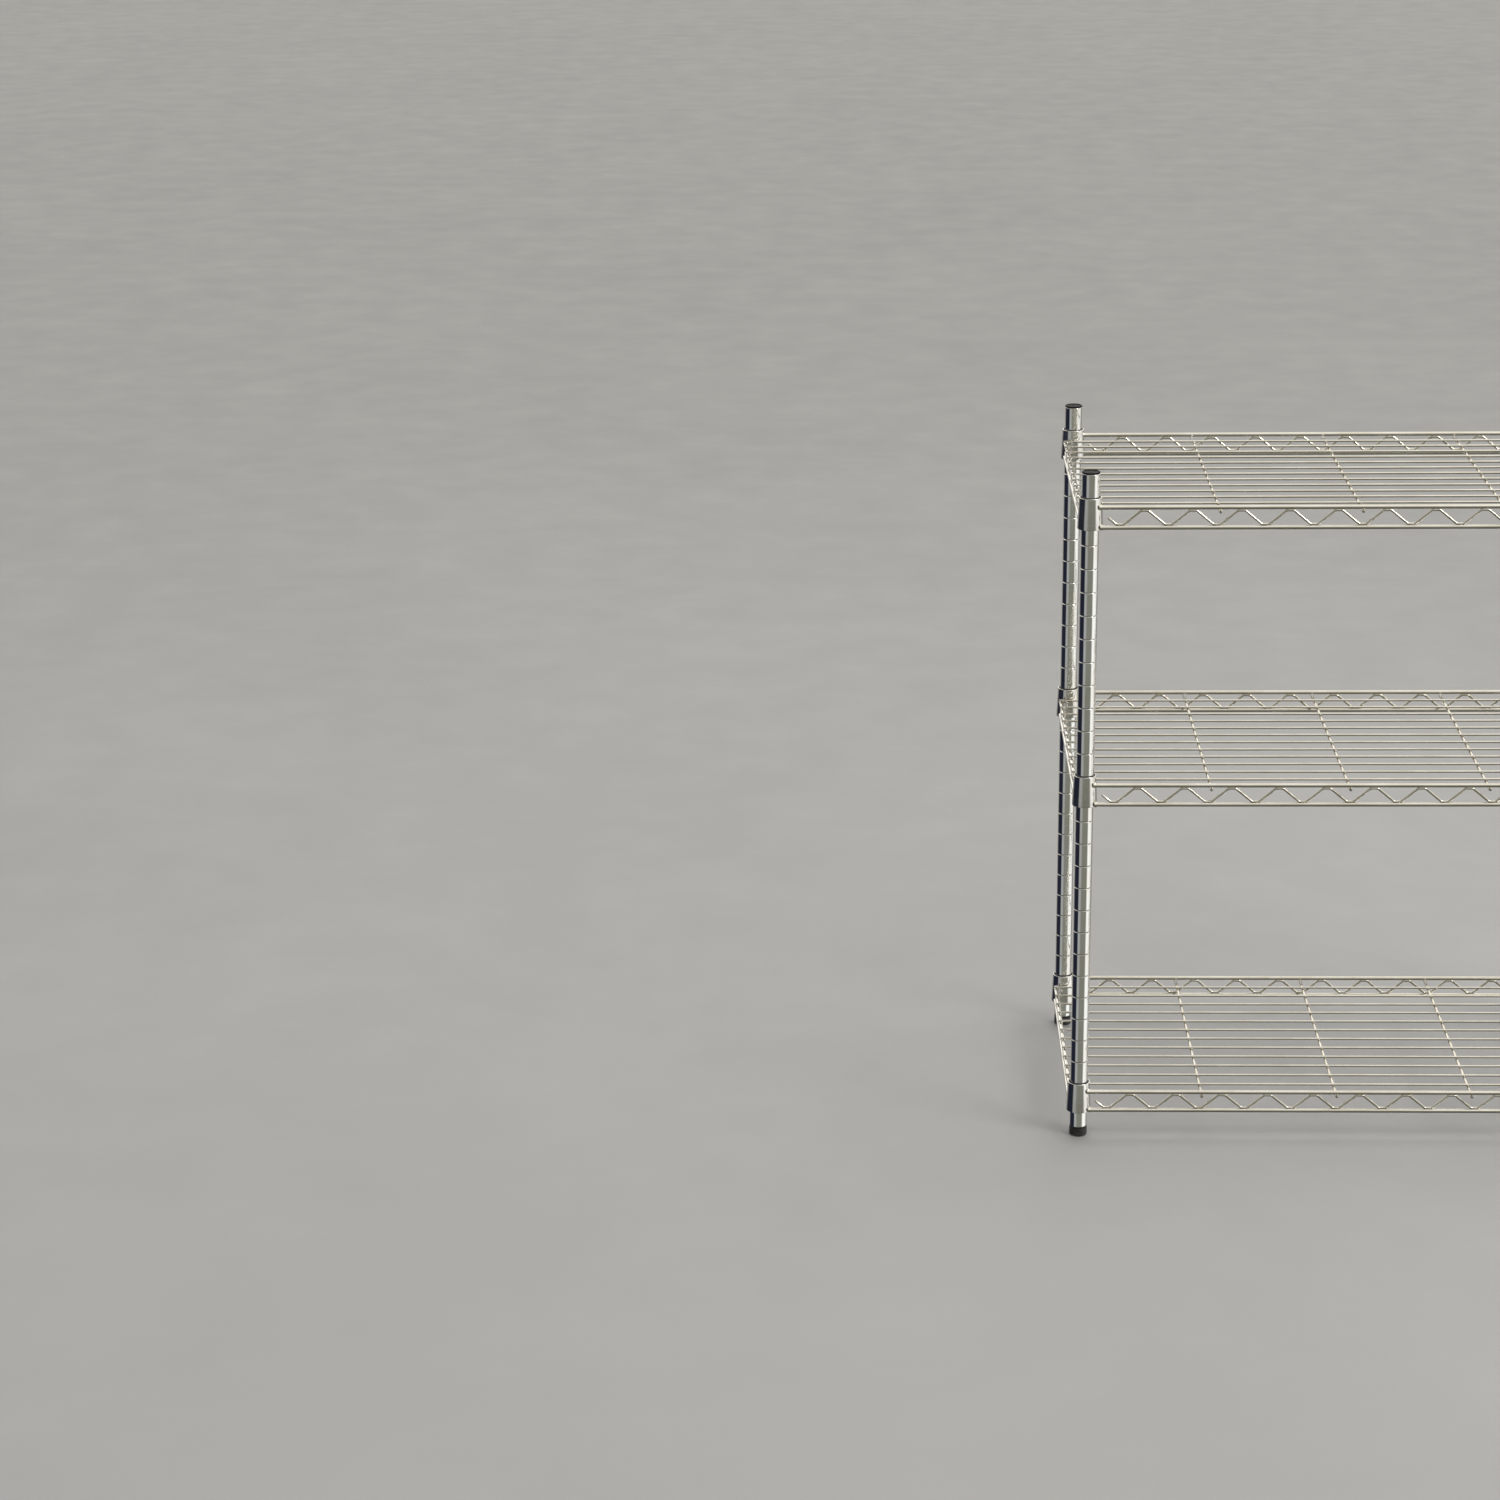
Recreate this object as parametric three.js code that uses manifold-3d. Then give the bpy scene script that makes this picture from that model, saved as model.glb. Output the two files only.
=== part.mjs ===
// Chrome wire shelving, put together without bolts: four grooved posts, three welded wire shelves,
// and a two-part tapered sleeve that locks each shelf corner to a post groove.
// Millimetres, +Z up. The origin is on the floor at the middle of the four posts,
// +X runs along the shelf and +Y runs from the front to the back.
import * as THREE from 'three';
import { mergeVertices } from 'three/addons/utils/BufferGeometryUtils.js';
import Module from 'manifold-3d';

const wasm = await Module();
wasm.setup();

// ---- driving dimensions -------------------------------------------------------------------
const INCH = 25.4;
const CLEARANCE = 0.35; // air between neighbouring pieces
const WELD = 0.4; // how far welded wires sink into each other
const ROUND_SIDES = 8; // facets of the posts and of everything concentric with them
const WIRE_SIDES = 6;
const SQUARE_SIDES = 4;

const SPAN_X = 563; // post centre to post centre along the shelf
const SPAN_Y = 315; // post centre to post centre, front to back

const POST_RADIUS = 9.525; // three-quarter-inch tube
const POST_BORE = 8.4;
const POST_TOP = 749;
const POST_BOTTOM = 11.3;
const GROOVE_DEPTH = 0.5;
const GROOVE_HALF = 1.1; // half of a groove's height
const GROOVE_PITCH = INCH;
const FIRST_GROOVE = POST_TOP - 2 * GROOVE_PITCH;
const GROOVE_COUNT = 27;

const SHELF_GROOVES = { bottom: 26, middle: 12, top: 0 }; // groove that each shelf hangs on
const COLLAR_TOP = INCH; // collar's top edge over its groove
const COLLAR_HEIGHT = 33.5;
const COLLAR_RADIUS_TOP = 12.05;
const COLLAR_RADIUS_BOTTOM = 13.6;
const COLLAR_WALL = 1.2;
const SLEEVE_PROUD = 0.6; // sleeve's top edge over the collar
const SLEEVE_SPLIT = 0.8; // slot between the two halves

const FRAME_WIRE = 2.3; // radius of the trusses' top and bottom wires
const ZIGZAG_WIRE = 1.4;
const MAT_WIRE = 1.25;
const RIB_WIRE = 1.7;
const TRUSS_OFFSET = 9; // the trusses meet the collars this far outside the post centres
const WIRE_BELOW_COLLAR_TOP = 9.3; // top wire's centre line
const TRUSS_DEPTH = 21.5; // between the centre lines of the top and bottom wires
const END_TRUSS_DEPTH = 15.8; // the end trusses start lower, and end level with the long ones
const ZIGZAG_PITCH = 50.2;
const ZIGZAG_FLAT = 7.4;
const ZIGZAG_FIRST = 30.5; // post centre to the first bottom flat's middle
const MAT_INTERVALS = 13; // twelve mat wires between the front and the back truss
const RIB_PITCH = 147.3; // three ribs, one of them in the middle
const MAT_OVERHANG = 2.6; // mat wires past the middle of the end wires
const RIB_OVERHANG = 2; // ribs past the middle of the long wires

const CAP_RIM = 1.5;
const CAP_RIM_WIDTH = 2.2;
const CAP_EDGE = 0.6;
const CAP_DISH = 0.6;
const CAP_PLUG_DEPTH = 9;
const CAP_LEAD = 0.8;

const FOOT_HEIGHT = 9.2;
const FOOT_RADIUS = 9.8;
const FOOT_CHAMFER = 1.2;
const STUD_RADIUS = 4; // M8
const STUD_TOP = 34;
const STUD_SEAT = 3.2; // floor to the stud's lower end
const STUD_CHAMFER = 1;
const INSERT_LIP = 1.1;
const INSERT_LENGTH = 15;

function grooveHeight(groove) {
  return FIRST_GROOVE - groove * GROOVE_PITCH;
}

// ---- finishes -----------------------------------------------------------------------------
const chrome = new THREE.MeshStandardMaterial({ color: 0xb9b8b0, roughness: 0.18, metalness: 1 });
const chromeWire = new THREE.MeshStandardMaterial({ color: 0xb0aca2, roughness: 0.25, metalness: 1 });
const blackPlastic = new THREE.MeshStandardMaterial({ color: 0x15161a, roughness: 0.4, metalness: 0 });
const zincSteel = new THREE.MeshStandardMaterial({ color: 0x8d9092, roughness: 0.4, metalness: 1 });

const unit = new THREE.Group();

function addPiece(name, geometry, material, x = 0, y = 0, z = 0) {
  const mesh = new THREE.Mesh(geometry, material);
  mesh.name = name;
  mesh.position.set(x, y, z);
  unit.add(mesh);
  return mesh;
}

// ---- solids and booleans ------------------------------------------------------------------
function toSolid(geometry) {
  const bare = geometry.clone();
  bare.deleteAttribute('normal');
  bare.deleteAttribute('uv');
  const merged = mergeVertices(bare, 1e-4);
  return new wasm.Manifold(new wasm.Mesh({
    numProp: 3,
    vertProperties: new Float32Array(merged.attributes.position.array),
    triVerts: new Uint32Array(merged.index.array),
  }));
}

function toGeometry(solid) {
  const mesh = solid.getMesh();
  const geometry = new THREE.BufferGeometry();
  geometry.setAttribute('position', new THREE.BufferAttribute(mesh.vertProperties, 3));
  geometry.setIndex(new THREE.BufferAttribute(mesh.triVerts, 1));
  geometry.computeVertexNormals();
  return geometry;
}

function weldTogether(geometries) {
  const solids = geometries.map(toSolid);
  return toGeometry(solids.slice(1).reduce((whole, solid) => whole.add(solid), solids[0]));
}

function cutAway(geometry, tool) {
  return toGeometry(toSolid(geometry).subtract(toSolid(tool)));
}

// ---- wires --------------------------------------------------------------------------------
// A path through corner points, whose sections stand on the corners themselves.
class CornerPath extends THREE.Curve {
  constructor(points) {
    super();
    this.points = points;
  }

  getPoint(t) {
    const last = this.points.length - 1;
    return this.points[Math.min(last, Math.round(t * last))].clone();
  }

  getPointAt(u) {
    return this.getPoint(u);
  }

  getTangentAt(u) {
    const last = this.points.length - 1;
    const here = Math.min(last, Math.round(u * last));
    const before = this.points[Math.max(0, here - 1)];
    const after = this.points[Math.min(last, here + 1)];
    const arriving = this.points[here].clone().sub(before).normalize();
    const leaving = after.clone().sub(this.points[here]).normalize();
    return arriving.add(leaving).normalize();
  }
}

function wireSection(radius, sides) {
  const corner = radius / Math.cos(Math.PI / sides);
  const section = new THREE.Shape();
  for (let side = 0; side < sides; side += 1) {
    const angle = (side + 0.5) * 2 * Math.PI / sides;
    const x = corner * Math.cos(angle);
    const y = corner * Math.sin(angle);
    if (side === 0) section.moveTo(x, y);
    else section.lineTo(x, y);
  }
  section.closePath();
  return section;
}

function wire(points, radius, sides = WIRE_SIDES) {
  return new THREE.ExtrudeGeometry(wireSection(radius, sides), {
    steps: points.length - 1,
    extrudePath: new CornerPath(points),
    curveSegments: 1,
    bevelEnabled: false,
  });
}

// A zigzag between the two wires of a truss. It starts and ends half-way up a diagonal, beside the collars.
function zigzagPoints(span, depth, place) {
  const high = WELD - FRAME_WIRE - ZIGZAG_WIRE;
  const low = -depth - high;
  const middle = (high + low) / 2;
  const gaps = Math.round((span - 2 * ZIGZAG_FIRST) / ZIGZAG_PITCH);
  const pitch = (span - 2 * ZIGZAG_FIRST) / gaps;
  const slope = pitch / 2 - ZIGZAG_FLAT;
  const start = ZIGZAG_FIRST - ZIGZAG_FLAT / 2 - slope / 2;
  const points = [place(start, middle)];
  for (let gap = 0; gap <= gaps; gap += 1) {
    const bottom = ZIGZAG_FIRST + gap * pitch;
    points.push(place(bottom - ZIGZAG_FLAT / 2, low), place(bottom + ZIGZAG_FLAT / 2, low));
    if (gap < gaps) {
      const top = bottom + pitch / 2;
      points.push(place(top - ZIGZAG_FLAT / 2, high), place(top + ZIGZAG_FLAT / 2, high));
    }
  }
  points.push(place(span - start, middle));
  return points;
}

// ---- turned pieces ------------------------------------------------------------------------
function turned(profile) {
  const points = profile.map(([radius, height]) => new THREE.Vector2(radius, height));
  return new THREE.LatheGeometry(points, ROUND_SIDES).rotateX(Math.PI / 2);
}

function postGeometry() {
  const profile = [[POST_BORE, POST_BOTTOM], [POST_RADIUS, POST_BOTTOM]];
  for (let groove = GROOVE_COUNT - 1; groove >= 0; groove -= 1) {
    const level = grooveHeight(groove);
    profile.push([POST_RADIUS, level - GROOVE_HALF]);
    profile.push([POST_RADIUS - GROOVE_DEPTH, level]);
    profile.push([POST_RADIUS, level + GROOVE_HALF]);
  }
  profile.push([POST_RADIUS, POST_TOP], [POST_BORE, POST_TOP], [POST_BORE, POST_BOTTOM]);
  return turned(profile);
}

function capGeometry() {
  const plug = POST_BORE - CLEARANCE;
  const plugEnd = POST_TOP - CAP_PLUG_DEPTH;
  const under = POST_TOP + CLEARANCE;
  const top = under + CAP_RIM;
  return turned([
    [0, plugEnd],
    [plug - CAP_LEAD, plugEnd],
    [plug, plugEnd + 2 * CAP_LEAD],
    [plug, under],
    [POST_RADIUS, under],
    [POST_RADIUS, top - CAP_EDGE],
    [POST_RADIUS - CAP_EDGE, top],
    [POST_RADIUS - CAP_RIM_WIDTH, top],
    [0, top - CAP_DISH],
  ]);
}

function footGeometry() {
  const hole = STUD_RADIUS + CLEARANCE;
  const seat = STUD_SEAT - CLEARANCE;
  return turned([
    [0, 0],
    [FOOT_RADIUS - FOOT_CHAMFER, 0],
    [FOOT_RADIUS, FOOT_CHAMFER],
    [FOOT_RADIUS, FOOT_HEIGHT - FOOT_CHAMFER / 2],
    [FOOT_RADIUS - FOOT_CHAMFER / 2, FOOT_HEIGHT],
    [hole, FOOT_HEIGHT],
    [hole, seat],
    [0, seat],
  ]);
}

function studGeometry() {
  return turned([
    [0, STUD_SEAT],
    [STUD_RADIUS, STUD_SEAT],
    [STUD_RADIUS, STUD_TOP - STUD_CHAMFER],
    [STUD_RADIUS - STUD_CHAMFER, STUD_TOP],
    [0, STUD_TOP],
  ]);
}

function insertGeometry() {
  const hole = STUD_RADIUS + CLEARANCE;
  const plug = POST_BORE - CLEARANCE;
  const lipTop = POST_BOTTOM - CLEARANCE;
  const lipBottom = lipTop - INSERT_LIP;
  const insertTop = lipTop + INSERT_LENGTH;
  return turned([
    [hole, lipBottom],
    [POST_RADIUS, lipBottom],
    [POST_RADIUS, lipTop],
    [plug, lipTop],
    [plug, insertTop],
    [hole, insertTop],
    [hole, lipBottom],
  ]);
}

// ---- shelf corners ------------------------------------------------------------------------
// Heights in this section and the next are counted from the groove that carries the shelf.
const COLLAR_BOTTOM = COLLAR_TOP - COLLAR_HEIGHT;
const TOP_WIRE = COLLAR_TOP - WIRE_BELOW_COLLAR_TOP;

function collarRadiusAt(level) {
  const share = (COLLAR_TOP - level) / COLLAR_HEIGHT;
  return THREE.MathUtils.lerp(COLLAR_RADIUS_TOP, COLLAR_RADIUS_BOTTOM, share);
}

function collarGeometry() {
  return turned([
    [COLLAR_RADIUS_BOTTOM - COLLAR_WALL, COLLAR_BOTTOM],
    [COLLAR_RADIUS_BOTTOM, COLLAR_BOTTOM],
    [COLLAR_RADIUS_TOP, COLLAR_TOP],
    [COLLAR_RADIUS_TOP - COLLAR_WALL, COLLAR_TOP],
    [COLLAR_RADIUS_BOTTOM - COLLAR_WALL, COLLAR_BOTTOM],
  ]);
}

// One half of the tapered sleeve, with the inner ridge that sits in the post's groove.
function sleeveHalfGeometry(facing) {
  const bore = POST_RADIUS + CLEARANCE;
  const top = COLLAR_TOP + SLEEVE_PROUD;
  const bottom = COLLAR_BOTTOM + CLEARANCE;
  const skin = (level) => collarRadiusAt(level) - COLLAR_WALL - CLEARANCE;
  const whole = turned([
    [bore, bottom],
    [skin(bottom), bottom],
    [skin(top), top],
    [bore, top],
    [bore, GROOVE_HALF],
    [bore - GROOVE_DEPTH, 0],
    [bore, -GROOVE_HALF],
    [bore, bottom],
  ]);
  const size = 4 * COLLAR_HEIGHT;
  const otherHalf = new THREE.BoxGeometry(size, size, size);
  otherHalf.translate(0, facing * (SLEEVE_SPLIT / 2 - size / 2), 0);
  return cutAway(whole, otherHalf);
}

// ---- shelf --------------------------------------------------------------------------------
// Each function gives a piece in the shelf's own frame: x and y from the shelf's middle.
const HALF_X = SPAN_X / 2;
const HALF_Y = SPAN_Y / 2;
const END_LINE = HALF_X + TRUSS_OFFSET; // middle of the shelf to the end trusses
const LONG_LINE = HALF_Y + TRUSS_OFFSET; // middle of the shelf to the front and back trusses
const RIB_LEVEL = TOP_WIRE - FRAME_WIRE - CLEARANCE - RIB_WIRE;
const MAT_LEVEL = RIB_LEVEL + RIB_WIRE + MAT_WIRE - WELD;
const END_WIRE = MAT_LEVEL - MAT_WIRE - CLEARANCE - FRAME_WIRE;

// How far along a truss a circle around the post centre passes the inner side of the truss wire.
function alongTruss(radius) {
  return Math.sqrt(radius ** 2 - (TRUSS_OFFSET - FRAME_WIRE) ** 2);
}

function matGeometry() {
  const wires = [];
  const reachX = END_LINE + MAT_OVERHANG;
  const reachY = LONG_LINE + RIB_OVERHANG;
  for (let rib = -1; rib <= 1; rib += 1) {
    const x = rib * RIB_PITCH;
    const ends = [new THREE.Vector3(x, -reachY, RIB_LEVEL), new THREE.Vector3(x, reachY, RIB_LEVEL)];
    wires.push(wire(ends, RIB_WIRE, SQUARE_SIDES));
  }
  for (let gap = 1; gap < MAT_INTERVALS; gap += 1) {
    const y = -LONG_LINE + gap * 2 * LONG_LINE / MAT_INTERVALS;
    const ends = [new THREE.Vector3(-reachX, y, MAT_LEVEL), new THREE.Vector3(reachX, y, MAT_LEVEL)];
    wires.push(wire(ends, MAT_WIRE, SQUARE_SIDES));
  }
  return weldTogether(wires);
}

// The long trusses stand beside their collars. The welds that hold them there are too thin to model.
function longTrussGeometry() {
  const place = (along, level) => new THREE.Vector3(along - HALF_X, 0, TOP_WIRE + level);
  const straight = (level) => {
    const start = alongTruss(collarRadiusAt(TOP_WIRE + level)) + CLEARANCE;
    return wire([place(start, level), place(SPAN_X - start, level)], FRAME_WIRE);
  };
  return weldTogether([
    straight(0),
    straight(-TRUSS_DEPTH),
    wire(zigzagPoints(SPAN_X, TRUSS_DEPTH, place), ZIGZAG_WIRE, SQUARE_SIDES),
  ]);
}

// The end of a shelf: a short truss with a tapered collar welded to each of its ends.
function endFrameGeometry(outward) {
  const x = outward * TRUSS_OFFSET;
  const place = (along, level) => new THREE.Vector3(x, along - HALF_Y, END_WIRE + level);
  const straight = (level) => {
    const start = alongTruss(collarRadiusAt(END_WIRE + level) - COLLAR_WALL);
    return wire([place(start, level), place(SPAN_Y - start, level)], FRAME_WIRE);
  };
  return weldTogether([
    collarGeometry().translate(0, -HALF_Y, 0),
    collarGeometry().translate(0, HALF_Y, 0),
    straight(0),
    straight(-END_TRUSS_DEPTH),
    wire(zigzagPoints(SPAN_Y, END_TRUSS_DEPTH, place), ZIGZAG_WIRE, SQUARE_SIDES),
  ]);
}

// ---- assembly -----------------------------------------------------------------------------
const CORNERS = {
  front_left: [-HALF_X, -HALF_Y],
  front_right: [HALF_X, -HALF_Y],
  back_left: [-HALF_X, HALF_Y],
  back_right: [HALF_X, HALF_Y],
};

for (const [corner, [x, y]] of Object.entries(CORNERS)) {
  addPiece(`post_${corner}`, postGeometry(), chrome, x, y);
  addPiece(`cap_${corner}`, capGeometry(), blackPlastic, x, y);
  addPiece(`insert_${corner}`, insertGeometry(), blackPlastic, x, y);
  addPiece(`stud_${corner}`, studGeometry(), zincSteel, x, y);
  addPiece(`foot_${corner}`, footGeometry(), blackPlastic, x, y);
}

for (const [shelf, groove] of Object.entries(SHELF_GROOVES)) {
  const level = grooveHeight(groove);
  addPiece(`mat_${shelf}`, matGeometry(), chromeWire, 0, 0, level);
  addPiece(`truss_front_${shelf}`, longTrussGeometry(), chromeWire, 0, -LONG_LINE, level);
  addPiece(`truss_back_${shelf}`, longTrussGeometry(), chromeWire, 0, LONG_LINE, level);
  addPiece(`end_left_${shelf}`, endFrameGeometry(-1), chrome, -HALF_X, 0, level);
  addPiece(`end_right_${shelf}`, endFrameGeometry(1), chrome, HALF_X, 0, level);
  for (const [corner, [x, y]] of Object.entries(CORNERS)) {
    addPiece(`sleeve_${shelf}_${corner}_outer`, sleeveHalfGeometry(Math.sign(y)), blackPlastic, x, y, level);
    addPiece(`sleeve_${shelf}_${corner}_inner`, sleeveHalfGeometry(-Math.sign(y)), blackPlastic, x, y, level);
  }
}

export default unit;
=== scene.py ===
"""Chrome wire shelving put together without bolts: its finished looks, in metres, +Z up."""

import math
import random

import bpy
from mathutils import Matrix, Vector


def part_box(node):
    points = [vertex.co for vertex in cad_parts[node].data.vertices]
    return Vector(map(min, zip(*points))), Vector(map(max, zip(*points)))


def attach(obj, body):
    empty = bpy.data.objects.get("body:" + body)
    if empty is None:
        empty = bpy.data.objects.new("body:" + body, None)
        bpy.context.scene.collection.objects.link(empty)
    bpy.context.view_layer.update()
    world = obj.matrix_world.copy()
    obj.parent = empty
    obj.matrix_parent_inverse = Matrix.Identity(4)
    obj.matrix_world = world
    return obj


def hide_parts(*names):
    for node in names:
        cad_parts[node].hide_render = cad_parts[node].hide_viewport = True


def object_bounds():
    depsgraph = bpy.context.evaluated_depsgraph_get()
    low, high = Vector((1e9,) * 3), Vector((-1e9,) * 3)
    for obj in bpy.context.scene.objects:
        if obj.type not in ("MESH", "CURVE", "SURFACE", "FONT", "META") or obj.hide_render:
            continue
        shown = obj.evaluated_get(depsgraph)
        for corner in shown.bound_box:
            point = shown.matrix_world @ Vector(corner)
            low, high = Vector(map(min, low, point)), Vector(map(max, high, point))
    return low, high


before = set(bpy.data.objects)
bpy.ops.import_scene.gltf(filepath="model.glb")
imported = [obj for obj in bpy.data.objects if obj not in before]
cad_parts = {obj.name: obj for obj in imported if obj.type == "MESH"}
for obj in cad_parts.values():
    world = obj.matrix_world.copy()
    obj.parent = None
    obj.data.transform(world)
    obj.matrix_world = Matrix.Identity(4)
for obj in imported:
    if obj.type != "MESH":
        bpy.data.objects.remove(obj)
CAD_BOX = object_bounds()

MM = 0.001
INCH = 25.4 * MM

CORNERS = ("front_left", "front_right", "back_left", "back_right")
SHELVES = ("bottom", "middle", "top")

# ---- sizes that the frame's boxes don't give -------------------------------------------------
POST_WALL = 1.1 * MM
POST_EDGE = 0.3 * MM
GROOVE_DEPTH = 0.32 * MM
GROOVE_HALF = 0.85 * MM
GROOVE_STEPS = 5
SUPPORT = 0.25 * MM  # how far a flat runs on before the next rounding starts to show
FIRST_GROOVE = 2 * INCH  # below the post's top
GROOVE_COUNT = 27

COLLAR_RADIUS_TOP = 12.05 * MM
COLLAR_RADIUS_BOTTOM = 13.6 * MM
COLLAR_WALL = 1.2 * MM
SLEEVE_PLAY = 0.15 * MM  # between the sleeve's skin and the collar's bore
SLEEVE_BORE_PLAY = 0.12 * MM  # between the sleeve's bore and the post
SLEEVE_HALF_SLOT = 0.4 * MM
SLEEVE_STEPS = 30  # around each half

TRUSS_OFFSET = 9 * MM  # outwards from the post centres
TRUSS_DEPTH = 21.5 * MM
FRAME_WIRE = 2.3 * MM
ZIGZAG_WIRE = 1.4 * MM
MAT_WIRE = 1.25 * MM
RIB_WIRE = 1.7 * MM
WELD_DEPTH = 0.4 * MM
ZIGZAG_PITCH = 50.2 * MM
ZIGZAG_FLAT = 7.4 * MM
ZIGZAG_FIRST = 30.5 * MM
BEND_RADIUS = 5 * MM
RIB_PITCH = 147.3 * MM
MAT_INTERVALS = 13
RIB_STEPS = 16
MAT_STEPS = 32
TRUSS_STEPS = 12
TRUSS_WELD = Vector((2.1, 2.1, 1.9)) * MM
MAT_WELD = Vector((1.75, 1.5, 0.55)) * MM
MAT_WIRE_DRIFT = 0.25 * MM
MAT_WIRE_BOW = 0.35 * MM

CAP_PLUG_PLAY = 0.25 * MM
CAP_PLUG_WALL = 1.6 * MM
CAP_PROUD = 0.02 * MM
CAP_PLUG_RIBS = 8
INSERT_PLUG_PLAY = 0.3 * MM
INSERT_HOLE = 4.3 * MM
INSERT_THREAD_DEPTH = 0.25 * MM
INSERT_PLUG_RIBS = 12
STUD_PITCH = 1.25 * MM
STUD_THREAD_DEPTH = 0.62 * MM
STUD_CHAMFER = 1.1 * MM
STUD_SIDES = 36
STUD_ROWS_PER_TURN = 8
FOOT_HOLE = 4.25 * MM
FOOT_SEAT_PLAY = 0.15 * MM
FOOT_SOLE = 1.3 * MM  # rounding of the sole's edge
FOOT_GRIP_DEPTH = 0.10 * MM
FOOT_GRIPS = 32
FOOT_SIDES = 128

SMOOTH_SIDES = 64
WIRE_SIDES = 18
THIN_SIDES = 14
MOULDED_CREASE = math.radians(35)
METAL_CREASE = math.radians(50)


# ---- mesh building ---------------------------------------------------------------------------
class Builder:
    """Collects closed shells with one value per vertex for soiling and painted shade, and turns them into one
    object.
    """

    def __init__(self):
        self.points = []
        self.faces = []
        self.soil_and_shade = []

    def ring(self, points, soil_and_shade=0.0):
        first = len(self.points)
        self.points.extend(points)
        self.soil_and_shade.extend([soil_and_shade] * len(points))
        return list(range(first, first + len(points)))

    def bridge(self, low, high):
        count = len(low)
        for i in range(count):
            j = (i + 1) % count
            self.faces.append((low[i], low[j], high[j], high[i]))

    def fill(self, ring, flip=False):
        centre = sum((self.points[i] for i in ring), Vector()) / len(ring)
        hub = self.ring([centre], self.soil_and_shade[ring[0]])[0]
        count = len(ring)
        for i in range(count):
            j = (i + 1) % count
            self.faces.append((ring[j], ring[i], hub) if flip else (ring[i], ring[j], hub))

    def finish(self, name, material, sharp_angle):
        mesh = bpy.data.meshes.new(name)
        mesh.from_pydata([tuple(p) for p in self.points], [], self.faces)
        mesh.validate()
        # One value per vertex. It holds real dust, oil, dull welds and cut ends, and on the chrome it holds
        # painted shade in the groove valleys and bores.
        values = mesh.attributes.new("soil_and_shade", "FLOAT", "POINT")
        values.data.foreach_set("value", self.soil_and_shade)
        mesh.shade_smooth()
        mesh.set_sharp_from_angle(angle=sharp_angle)
        mesh.materials.append(material)
        piece = bpy.data.objects.new(name, mesh)
        bpy.context.scene.collection.objects.link(piece)
        return piece


def turn(builder, profile, centre, sides=SMOOTH_SIDES, closed=True, wobble=None):
    """Turns (radius, height, soil) points about the vertical through centre.
    The profile runs anticlockwise, and wobble gives what is added to a radius."""
    rings = []
    for radius, height, soil_and_shade in profile:
        if radius <= 0:
            rings.append(builder.ring([centre + Vector((0, 0, height))], soil_and_shade))
            continue
        points = []
        for side in range(sides):
            angle = 2 * math.pi * side / sides
            r = radius + (wobble(angle, height) if wobble else 0)
            points.append(centre + Vector((r * math.cos(angle), r * math.sin(angle), height)))
        rings.append(builder.ring(points, soil_and_shade))
    pairs = list(zip(rings, rings[1:]))
    if closed and len(rings[0]) > 1:
        pairs.append((rings[-1], rings[0]))
    for low, high in pairs:
        if len(low) == 1 and len(high) == 1:
            continue
        if len(low) == 1:
            for i in range(sides):
                builder.faces.append((low[0], high[(i + 1) % sides], high[i]))
        elif len(high) == 1:
            for i in range(sides):
                builder.faces.append((low[i], low[(i + 1) % sides], high[0]))
        else:
            builder.bridge(low, high)


def rounded(corners, steps=4):
    """A profile through (radius, height, rounding, soil) corners, each rounded off with its own radius.
    A point just before and after each rounding keeps the flats between them flat."""
    profile = []
    count = len(corners)
    for i, (x, z, rounding, soil_and_shade) in enumerate(corners):
        here = Vector((x, z))
        before = Vector(corners[(i - 1) % count][:2])
        after = Vector(corners[(i + 1) % count][:2])
        if rounding <= 0:
            profile.append((x, z, soil_and_shade))
            continue
        start = here + (before - here).normalized() * rounding
        end = here + (after - here).normalized() * rounding
        if (before - here).length > 3 * (rounding + SUPPORT):
            held = here + (before - here).normalized() * (rounding + SUPPORT)
            profile.append((held.x, held.y, soil_and_shade))
        for step in range(steps + 1):
            t = step / steps
            p = start * (1 - t) ** 2 + here * 2 * t * (1 - t) + end * t ** 2
            profile.append((p.x, p.y, soil_and_shade))
        if (after - here).length > 3 * (rounding + SUPPORT):
            held = here + (after - here).normalized() * (rounding + SUPPORT)
            profile.append((held.x, held.y, soil_and_shade))
    return profile


def bent_path(corners, radius, steps=5):
    """The corner points of a bent wire, with each bend rounded."""
    path = [corners[0]]
    for before, here, after in zip(corners, corners[1:], corners[2:]):
        arriving = (here - before).normalized()
        leaving = (after - here).normalized()
        half = arriving.angle(leaving) / 2
        reach = min(radius * math.tan(half), (here - before).length / 2, (after - here).length / 2)
        start = here - arriving * reach
        end = here + leaving * reach
        for step in range(steps + 1):
            t = step / steps
            path.append(start * (1 - t) ** 2 + here * 2 * t * (1 - t) + end * t ** 2)
    path.append(corners[-1])
    return path


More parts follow.
